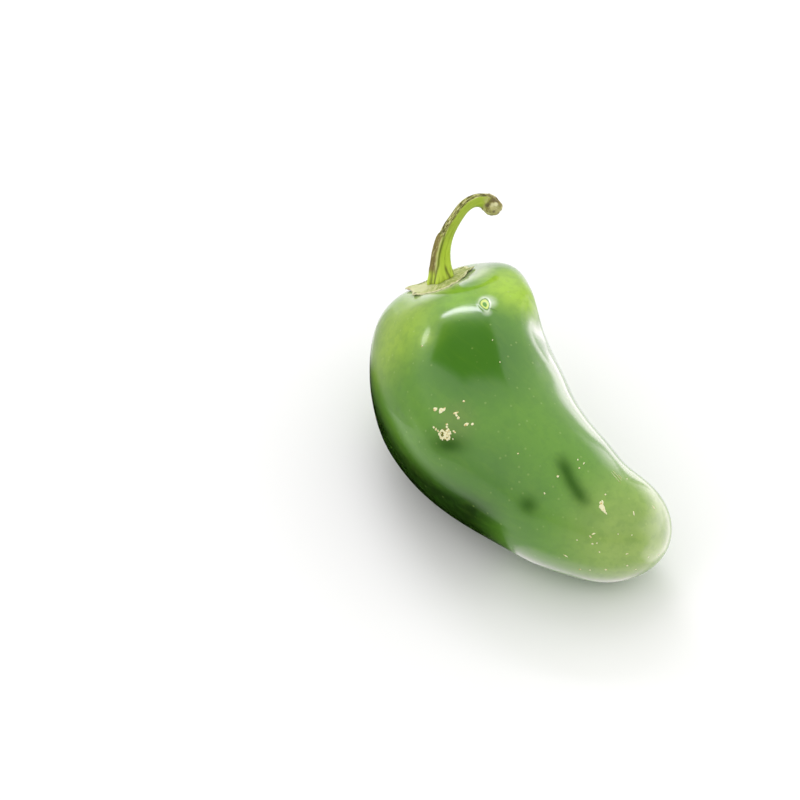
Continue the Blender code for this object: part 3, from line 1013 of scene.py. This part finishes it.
def rings_of(mesh, start_near):
    """The rings of points of a stalk, from the pole near a place to its other end."""
    links = [[] for _ in mesh.vertices]
    for edge in mesh.edges:
        a, b = edge.vertices
        links[a].append(b)
        links[b].append(a)
    many = max(len(ends) for ends in links)
    poles = [i for i, ends in enumerate(links) if len(ends) == many]
    first = min(poles, key=lambda i: (mesh.vertices[i].co - start_near).length)
    level, seen, rings = {first}, {first}, []
    while level:
        rings.append(sorted(level))
        level = {b for a in level for b in links[a]} - seen
        seen |= level
    return rings


FIBRE_SCALE = (2.0, 2.0, 1.0)


def keep_fibre(mesh, start_near):
    """Gives each point of the stalk its angle round it and its distance along it, in millimetres."""
    points = points_of(mesh)
    rings = rings_of(mesh, start_near)
    middles = np.array([points[ring].mean(0) for ring in rings])
    runs = np.linalg.norm(np.diff(middles, axis=0), axis=1) / MM
    along = np.concatenate([[0], np.cumsum(runs)])
    ways = np.gradient(middles, axis=0)
    fibre = np.zeros((len(points), 3))
    for ring, middle, way, reach in zip(rings, middles, ways, along):
        way = way / np.linalg.norm(way)
        side = np.array((1.0, 0.0, 0.0)) - way * way[0]
        side /= np.linalg.norm(side)
        outer = np.cross(side, way)
        away = points[ring] - middle
        a = np.arctan2(away @ outer, away @ side)
        fibre[ring] = np.stack([np.cos(a), np.sin(a), np.full(len(ring), reach)], axis=1) * FIBRE_SCALE
    keep(mesh, "fibre", fibre)
    return along[-1]


# Around the stalk: 0 is its +X side and 90 its outer side, in degrees, and distances along it are in
# millimetres from its foot. Grooves: angle at the foot and further up, half width, from, to, depth.
GROOVES = (
    (112, 108, 7, 0.0, 2.6, 0.9), (83, 60, 8, 0.0, 9.5, 1.0), (5, 23, 6, 0.2, 3.8, 0.9),
    (-34, -34, 9, 0.0, 6.0, 0.8), (-80, -80, 9, 0.0, 5.0, 0.8), (-130, -130, 9, 0.0, 6.0, 0.8),
    (176, 176, 9, 0.0, 5.0, 0.8), (66, 72, 5, 8.0, 14.5, 0.7),
)
GROOVE_DRIFT = 3.6
GROOVE_WANDER = 4
WANDER_WAVE = 3.0
GROOVE_ONSET = 0.2

# A pale line of bare fibres: angle, half width, from, to.
CREAM_LINE = (74, 5, 1.6, 9.5)
CREAM_ONSET = 0.6

# How far before its start a groove or line sets in, and over what distance it fades out.
LINE_LEAD = 0.6
LINE_END = 2

# The bark and the cracked stretch above it: middle and half width, then from where to where.
BARK_SIDE = (120, 42)
BARK_RAGGED = 7
BARK_RISE = (1.2, 2.2)
BARK_FALL = (8.3, 8.55)
CRACKED_SIDE = (112, 50)
CRACKED_FROM = 8.2
CRACKED_FADE = 0.6
CRACK_EDGES = (0.02, 0.25)

# The foot swells round this angle, over this half width and length.
FLARE = (150, 75, 2.6)
KNOB_LENGTH = 4.4
KNOB_FADE = 2.2
KNOB_HEIGHT = 2.5 * MM
SINK_FADE = (0.3, 2.2)

# The fibres' waves are drawn out along the stalk, the rough ones less.
STRAND_SCALE = (3.4, 3.4, 0.28)
ROUGH_SCALE = (2.6, 2.6, 0.9)
LUMP_WAVE = 1.1 * MM
FINE_LUMP_WAVE = 0.5 * MM

# Heights of the finest forms.
STRAND_HEIGHT = 0.05 * MM
CRACK_DEPTH = 0.14 * MM
CREAM_HEIGHT = 0.06 * MM


def angle_gap(angles, centre):
    """Degrees between angles and a centre, the short way round."""
    return np.abs((angles - centre + 180) % 360 - 180)


def facing(degrees, middle, half, soft):
    """1 within half of a middle angle round the stalk, with a soft edge."""
    return 1 - smooth_step(angle_gap(degrees, middle), half - soft, half + soft)


def lasting(along, start, end, onset):
    """1 from a start to an end along the stalk, with a quick onset and a slow end."""
    return stretch(along, (start - LINE_LEAD, start + onset), (end - LINE_END, end))


def groove_share(degrees, along):
    """How deep the grooves are at each point, from 0 to 1. They wander a little."""
    deepest = np.zeros(len(along))
    for foot_angle, middle, half, start, end, depth in GROOVES:
        line = np.stack([along, along * 0, along * 0 + middle], axis=1)
        wander = GROOVE_WANDER * waves(line, WANDER_WAVE)
        wander += (middle - foot_angle) * (1 - smooth_step(along, 0, GROOVE_DRIFT))
        across = bell(angle_gap(degrees + wander, middle), half)
        here = lasting(along, start, end, GROOVE_ONSET)
        deepest = np.maximum(deepest, depth * across * here)
    return deepest


def make_stem_stalk():
    """The stalk: ribbed foot, strip of bark with its step, cracked outer side and lumpy knob."""
    s = bpy.context.scene.jalapeno_stem
    piece = merged_copy("stem", "stem_stalk")
    full = keep_fibre(piece.data, calyx_middle())
    subdivide(piece)
    mesh = piece.data
    points, normals = points_of(mesh), normals_of(mesh)
    fibre = vectors(mesh.attributes["fibre"].data, "vector")
    degrees = np.degrees(np.arctan2(fibre[:, 1], fibre[:, 0]))
    along = fibre[:, 2]
    grooves = groove_share(degrees, along)
    strands = waves(fibre * STRAND_SCALE, 1.0)
    rough = waves(fibre * ROUGH_SCALE, 1.0, 5.0)
    middle, half = BARK_SIDE
    bark = facing(degrees, middle, half + BARK_RAGGED * rough, 5) * smooth_step(along, *BARK_RISE)
    bark *= 1 - smooth_step(along + 0.5 * rough, *BARK_FALL)
    outer = facing(degrees, *CRACKED_SIDE, 8)
    cracked = outer * smooth_step(along, CRACKED_FROM, CRACKED_FROM + CRACKED_FADE)
    cracks = cracked * smooth_step(-strands - 0.25 * rough, *CRACK_EDGES)
    knob = smooth_step(along, full - KNOB_LENGTH, full - KNOB_LENGTH + KNOB_FADE)
    lumps = waves(points, LUMP_WAVE, 2.0) + 0.5 * waves(points, FINE_LUMP_WAVE, 4.0)
    middle, half, start, end = CREAM_LINE
    cream = bell(angle_gap(degrees + 3 * rough, middle), half)
    cream *= lasting(along, start, end, CREAM_ONSET)
    middle, half, end = FLARE
    flare = bell(angle_gap(degrees, middle), half) * (1 - smooth_step(along, 0, end))
    slim = outer * smooth_step(along, CRACKED_FROM - 1, CRACKED_FROM + 1) * (1 - knob)
    lift = s.bark_height * (bark * (1 + 0.5 * strands) + 0.5 * cracked * strands)
    lift += STRAND_HEIGHT * strands - s.groove * grooves - CRACK_DEPTH * cracks
    lift += s.lumps * knob * lumps + CREAM_HEIGHT * cream + s.flare * flare - s.slim * slim
    points = points + normals * lift[:, None]
    up = flat_of(points_of(bpy.data.objects["calyx_cap"].data))[1]
    points -= up * (s.sink * (1 - smooth_step(along, *SINK_FADE)))[:, None]
    points += pulled(points, points[:, 2].max() - KNOB_HEIGHT, KNOB_PULL)
    set_points(mesh, points)
    # The hollows carry painted shade in the material.
    hollows = np.clip(grooves + cracks, 0, 1)
    for name, values in zip(STALK_PARTS, (hollows, bark, cracked, cream, knob)):
        keep(mesh, name, values)
    mesh.materials.append(fibrous_stalk(s))
    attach(piece, BODY)
    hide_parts("stem")


# What the stalk keeps for its material.
STALK_PARTS = ("groove", "bark", "cracked", "cream", "knob")

# Pale lumps and dark hollows of the knob, as pixels of the photograph.
KNOB_FACE = (495.5, 210)
KNOB_LUMPS = ((496, 204.3), (492.5, 204.8))
KNOB_HOLLOWS = ((493.8, 211.5), (498.5, 213), (487.2, 205.2))


def fibrous_stalk(s):
    """A fresh stalk of long fibres: satin yellow green, dull brown where bark and cracks have dried."""
    material, tree, shader = new_material("fibrous_green_stalk", 0.5, 0.3)
    here = place_on(tree)
    fibre = kept(tree, "fibre", "Vector")
    groove, bark, cracked, cream, knob = [kept(tree, name) for name in STALK_PARTS]
    spread = add_node(tree, "ShaderNodeSeparateXYZ", links={0: fibre}).outputs
    strands = marks(tree, drawn_out(tree, fibre, (1, 1, 0.14)), 2.2, 4, 0.6)
    fissures = marks(tree, drawn_out(tree, fibre, (1, 1, 0.4)), 2.6, 3, 0.6)
    patches = marks(tree, here, per_length(1.5), 3, 0.6)

    # Fresh green with long pale and dark fibres, brightest at the ribbed foot, with painted shade on
    # the inner side. Then dry bark low down on the outer side, green skin above it that is cracked open
    # to cream and umber, and the knob where it was picked: brown, with bare lumps and dark hollows.
    stalk = layered(tree, plain(tree, s.green), (
        (s.light, below(tree, spread["Z"], 4, 2), 0.9),
        (s.light, above(tree, strands, 0.56, 0.06), 0.45),
        (s.olive_fibre_and_shade, below(tree, strands, 0.42, 0.05), 0.25),
        (linear("86992C"), above(tree, spread["Z"], 8, 2.5), 0.5),
        # Painted shade on the inner side.
        (s.olive_fibre_and_shade, below(tree, spread["Y"], -1.6, 0.3), 0.3),
        (s.bark, bark, 0.95),
        (s.umber, product(tree, bark, below(tree, strands, 0.45, 0.05)), 0.45),
        (s.cream, product(tree, bark, above(tree, fissures, 0.60, 0.04)), 0.5),
        (s.bark, cracked, 0.55),
        (s.cream, product(tree, cracked, above(tree, fissures, 0.53, 0.03)), 0.8),
        (s.umber, product(tree, cracked, below(tree, fissures, 0.47, 0.03)), 0.85),
        (s.cream, cream, 0.8),
        (s.bark, knob, 0.9),
        (s.cream, product(tree, knob, above(tree, patches, 0.54, 0.05)), 0.75),
        (s.umber, product(tree, knob, below(tree, patches, 0.42, 0.05)), 0.8),
    ))
    bare = linear("DEDBAA")
    surface = tree_of(bpy.data.objects["stem_stalk"].data)
    stalk = spotted(tree, stalk, here, surface, (
        (KNOB_FACE, linear("B0AE6E"), 0.7, 1.5, 0.75),
        (KNOB_LUMPS[0], bare, 0.2, 0.6, 0.85),
        (KNOB_LUMPS[1], bare, 0.15, 0.55, 0.7),
        (KNOB_HOLLOWS[0], s.umber, 0.1, 0.45, 0.7),
        (KNOB_HOLLOWS[1], s.umber, 0.05, 0.35, 0.5),
        (KNOB_HOLLOWS[2], s.umber, 0.2, 0.7, 0.85),
    ))
    # Painted shade in the grooves and cracks.
    stalk = tinted(tree, stalk, s.olive_fibre_and_shade, groove, 0.8)
    tree.links.new(stalk, shader.inputs["Base Color"])
    tree.links.new(scaled(tree, bark, 0.5, 0.8), shader.inputs["Roughness"])
    bumpy(tree, shader, strands, 0.7, 0.08)
    return material


# The studio. Places and directions are (x, y, up) from the pepper, and distances are in metres. The
# long strip light hangs over the top of the skin, and its sizes are shares of its height.
SKIN_TOP = (0, 0, 0.033)
STRIP_WAY = (-0.975, 0.425, 1.0)
STRIP_HEIGHT = 0.55
STRIP_LENGTH = 0.87
STRIP_WIDTH = 0.09
STRIP_TINT = (0.88, 0.82, 1.0)
STRIP_RUN = (0.773, 0.636, 0.0)
SPOT_WAY = (-0.851, -0.174, 0.50)
SPOT_DISTANCE = 0.6
SPOT_SIZE = (0.11, 0.05)
SPOT_RUN = (0.64, 0.77, 0)
FLOOR_SIZE = 4
KEY_PLACE = (-0.35, 0.25, 0.75)
KEY_SIZE = (0.5, 0.5)
KEY_RUN = (1, 0, 0)
HORIZON_BAND = 0.5

# Cards that are only seen mirrored in the skin: name, height, glow, and the corners in millimetres
# with the width of the soft border there, which lies outside corners that run anticlockwise.
CARDS = (
    ("overhead_card", 483, 0.0, (
        (-27, 199, 34), (-92, 214, 34), (-228, 238, 30), (-345, 142, 30), (-520, 18, 40),
        (-520, -95, 50), (-595, -240, 60), (-203, -66, 60), (-96, 68, 34),
    )),
    ("near_card", 0.4, 0.0, (
        (-44, -4, 12), (-56, -18, 16), (-40, -31, 16), (-12, -36, 14), (6, -36, 8), (12.5, -30, 4),
        (13.5, -14, 1.5), (-4, -14, 3), (-16, -11, 3), (-24, -4, 3),
    )),
    ("side_shade", 0.3, 0.5, (
        (-62, 4, 10), (-48, -24, 10), (-60, -60, 16), (-90, -110, 20), (-180, -160, 20), (-235, -80, 20),
        (-240, 20, 20), (-150, 26, 14), (-95, 12, 10),
    )),
    ("rim_glow", 0.4, 3.2, (
        (-21, 56, 5), (22, 55, 8), (32, 42, 7), (38, 27, 5), (40, 15, 4), (42, 5, 4), (58, 4, 8),
        (92, 24, 20), (140, 44, 25), (140, 60, 2), (110, 100, 2), (62, 130, 2), (-24, 130, 5),
    )),
    ("under_glow", 0.5, 1.4, (
        (15.5, -14, 1), (17, -19, 2), (21, -21, 4), (27, -18, 4), (32, -14, 4), (37, -9, 4),
        (42, -3, 5), (40, 4, 5), (33, -1, 1), (29, -6.5, 1), (26, -9.5, 1), (22, -11.5, 1), (18, -12.5, 1),
    )),
)


# The cards' light is a little violet, so that it turns white where it is mirrored over green skin.
CARD_TINT = (1.0, 0.87, 1.0)

# Upright cards, mirrored in the same way: name, glow, full and faded height, and the places along
# the foot with how far the card covers there.
WALLS = (
    ("rim_wall", 4.6, 28, 95, (
        (-30, 132, 0), (-21, 131, 0.85), (-13, 130, 0.75), (-8, 130, 0.15), (-3, 130, 0.15), (6, 130, 0.85),
        (60, 130, 0.95), (108, 100, 0.95), (138, 50, 0.55), (146, 22, 0.15), (148, 5, 0),
    )),
    ("shade_wall", 0.55, 45, 120, (
        (-190, 110, 0), (-228, 60, 0.9), (-240, 0, 1), (-225, -80, 1), (-185, -150, 0.9),
        (-120, -215, 0.4), (-60, -250, 0),
    )),
)


def soft_light(name, place, size, power, run):
    """A soft oval light at a place, with its long side along run, turned to the pepper."""
    light = bpy.data.lights.new(name, "AREA")
    light.shape = "ELLIPSE"
    light.size, light.size_y = size
    light.energy = power
    lamp = bpy.data.objects.new(name, light)
    bpy.context.scene.collection.objects.link(lamp)
    facing = place.normalized()
    side = Vector(run) - facing * Vector(run).dot(facing)
    side.normalize()
    turned = Matrix((side, facing.cross(side), facing)).transposed().to_4x4()
    lamp.matrix_world = Matrix.Translation(place) @ turned
    lamp.visible_camera = False
    return lamp


def mirrored_only(name, glow, places, cover, faces):
    """Makes a card that is only seen mirrored in the skin."""
    card = bpy.data.meshes.new(name)
    card.from_pydata(places, [], faces)
    keep(card, "cover", np.array(cover))
    card.materials.append(card_finish(name, glow))
    flag = bpy.data.objects.new(name, card)
    bpy.context.scene.collection.objects.link(flag)
    flag.visible_camera = False
    flag.visible_diffuse = False
    flag.visible_shadow = False


def soft_card(name, height, glow, corners):
    """A level card with a soft border."""
    count = len(corners)
    inner = [Vector((x, y)) * MM for x, y, _ in corners]
    outer = []
    for i, (_, _, soft) in enumerate(corners):
        before = (inner[i] - inner[i - 1]).normalized()
        after = (inner[(i + 1) % count] - inner[i]).normalized()
        way = (before + after).normalized()
        outer.append(inner[i] + Vector((way.y, -way.x)) * soft * MM)
    places = [(*corner, height * MM) for corner in inner + outer]
    faces = [tuple(range(count))]
    for i in range(count):
        after = (i + 1) % count
        faces.append((i, i + count, after + count, after))
    mirrored_only(name, glow, places, [1.0] * count + [0.0] * count, faces)


def soft_wall(name, glow, full, faded, columns):
    """An upright card that fades out upwards and towards its ends."""
    count = len(columns)
    rows = ((0, 1), (full, 1), (faded, 0))
    places = [(x * MM, y * MM, height * MM) for height, _ in rows for x, y, _ in columns]
    cover = [part * strength for _, strength in rows for _, _, part in columns]
    faces = []
    for row in (0, count):
        for i in range(row, row + count - 1):
            faces.append((i, i + 1, i + 1 + count, i + count))
    mirrored_only(name, glow, places, cover, faces)


def card_finish(name, glow):
    """Even light, or black without any, that thins out over the card's border."""
    material = bpy.data.materials.new(name)
    material.use_nodes = True
    tree = material.node_tree
    tree.nodes.clear()
    shine = add_node(tree, "ShaderNodeEmission", {"Color": (*CARD_TINT, 1), "Strength": glow})
    clear = add_node(tree, "ShaderNodeBsdfTransparent")
    links = {0: kept(tree, "cover"), 1: clear.outputs[0], 2: shine.outputs[0]}
    mix = add_node(tree, "ShaderNodeMixShader", links=links)
    add_node(tree, "ShaderNodeOutputMaterial", links={"Surface": mix.outputs[0]})
    return material


def white_surround(s):
    """A white surround, brighter overhead than at the horizon."""
    world = bpy.data.worlds.new("white_surround")
    world.use_nodes = True
    tree = world.node_tree
    way = add_node(tree, "ShaderNodeTexCoord").outputs["Generated"]
    height = add_node(tree, "ShaderNodeSeparateXYZ", links={0: way}).outputs["Z"]
    light = scaled(tree, height, s.horizon, s.zenith, 0, HORIZON_BAND, "SMOOTHSTEP")
    background = tree.nodes["Background"]
    set_inputs(background, {"Color": (1, 1, 1, 1)})
    tree.links.new(light, background.inputs["Strength"])
    return world


def make_stage():
    """The pale floor, the white surround, the lights, the mirrored cards and walls, and the camera."""
    s = bpy.context.scene.jalapeno_stage
    scene = bpy.context.scene
    scene.view_settings.view_transform = "Standard"
    scene.world = white_surround(s)

    bpy.ops.mesh.primitive_plane_add(size=FLOOR_SIZE)
    floor = bpy.context.object
    floor.name = "floor"
    material, _, shader = new_material("matt_pale_floor", 0.8)
    set_inputs(shader, {"Base Color": (*s.floor, 1)})
    floor.data.materials.append(material)

    height = STRIP_HEIGHT
    strip = soft_light(
        "strip_light", Vector(STRIP_WAY) * height + Vector(SKIN_TOP),
        (STRIP_LENGTH * height, STRIP_WIDTH * height), s.strip, STRIP_RUN,
    )
    strip.data.color = STRIP_TINT
    soft_light("small_light", Vector(SPOT_WAY) * SPOT_DISTANCE, SPOT_SIZE, s.spot, SPOT_RUN)
    key = soft_light("key_light", Vector(KEY_PLACE), KEY_SIZE, s.key, KEY_RUN)
    key.visible_glossy = False

    for card in CARDS:
        soft_card(*card)
    for wall in WALLS:
        soft_wall(*wall)

    lens = bpy.data.cameras.new("camera")
    lens.lens = s.lens
    lens.sensor_width = SENSOR / MM
    camera = bpy.data.objects.new("camera", lens)
    scene.collection.objects.link(camera)
    camera.location = camera_place()
    camera.rotation_euler = (-camera_axes()[2]).to_track_quat("-Z", "Y").to_euler()
    scene.camera = camera


class Maker:
    """Runs the function that makes a piece or the stage."""

    def execute(self, context):
        self.make()
        return {"FINISHED"}


class JALAPENO_OT_pod_skin(Maker, bpy.types.Operator):
    """Makes the pod's waxy skin with its dents, crease and round scar"""
    bl_idname = "jalapeno.pod_skin"
    bl_label = "Pod skin"
    make = staticmethod(make_pod_skin)


class JALAPENO_OT_scars(Maker, bpy.types.Operator):
    """Makes the corky scars and flecks on the skin"""
    bl_idname = "jalapeno.scars"
    bl_label = "Corky scars"
    make = staticmethod(make_scars)


class JALAPENO_OT_calyx_cap(Maker, bpy.types.Operator):
    """Makes the papery calyx"""
    bl_idname = "jalapeno.calyx_cap"
    bl_label = "Calyx"
    make = staticmethod(make_calyx_cap)


class JALAPENO_OT_stem_stalk(Maker, bpy.types.Operator):
    """Makes the ribbed stem with its bark and knob"""
    bl_idname = "jalapeno.stem_stalk"
    bl_label = "Stem"
    make = staticmethod(make_stem_stalk)


class JALAPENO_OT_stage(Maker, bpy.types.Operator):
    """Makes the floor, the lights and the camera"""
    bl_idname = "jalapeno.stage"
    bl_label = "Stage"
    make = staticmethod(make_stage)


OPERATORS = (
    JALAPENO_OT_pod_skin,
    JALAPENO_OT_scars,
    JALAPENO_OT_calyx_cap,
    JALAPENO_OT_stem_stalk,
    JALAPENO_OT_stage,
)
SETTINGS = {
    "jalapeno_pod": PodSettings,
    "jalapeno_scars": ScarSettings,
    "jalapeno_calyx": CalyxSettings,
    "jalapeno_stem": StemSettings,
    "jalapeno_stage": StageSettings,
}


class JALAPENO_PT_panel(bpy.types.Panel):
    """Lists the pepper's pieces and what can be set for each"""
    bl_idname = "JALAPENO_PT_panel"
    bl_label = "Jalapeno"
    bl_space_type = "VIEW_3D"
    bl_region_type = "UI"
    bl_category = "Jalapeno"

    def draw(self, context):
        for operator, name in zip(OPERATORS, SETTINGS):
            box = self.layout.box()
            box.operator(operator.bl_idname)
            settings = getattr(context.scene, name)
            for key in SETTINGS[name].__annotations__:
                box.prop(settings, key)


def register():
    for name, settings in SETTINGS.items():
        bpy.utils.register_class(settings)
        setattr(bpy.types.Scene, name, PointerProperty(type=settings))
    for operator in OPERATORS:
        bpy.utils.register_class(operator)
    bpy.utils.register_class(JALAPENO_PT_panel)


def unregister():
    bpy.utils.unregister_class(JALAPENO_PT_panel)
    for operator in reversed(OPERATORS):
        bpy.utils.unregister_class(operator)
    for name, settings in SETTINGS.items():
        delattr(bpy.types.Scene, name)
        bpy.utils.unregister_class(settings)


def main():
    register()
    bpy.ops.jalapeno.pod_skin()
    bpy.ops.jalapeno.scars()
    bpy.ops.jalapeno.calyx_cap()
    bpy.ops.jalapeno.stem_stalk()
    bpy.ops.jalapeno.stage()


if __name__ == "__main__":
    main()
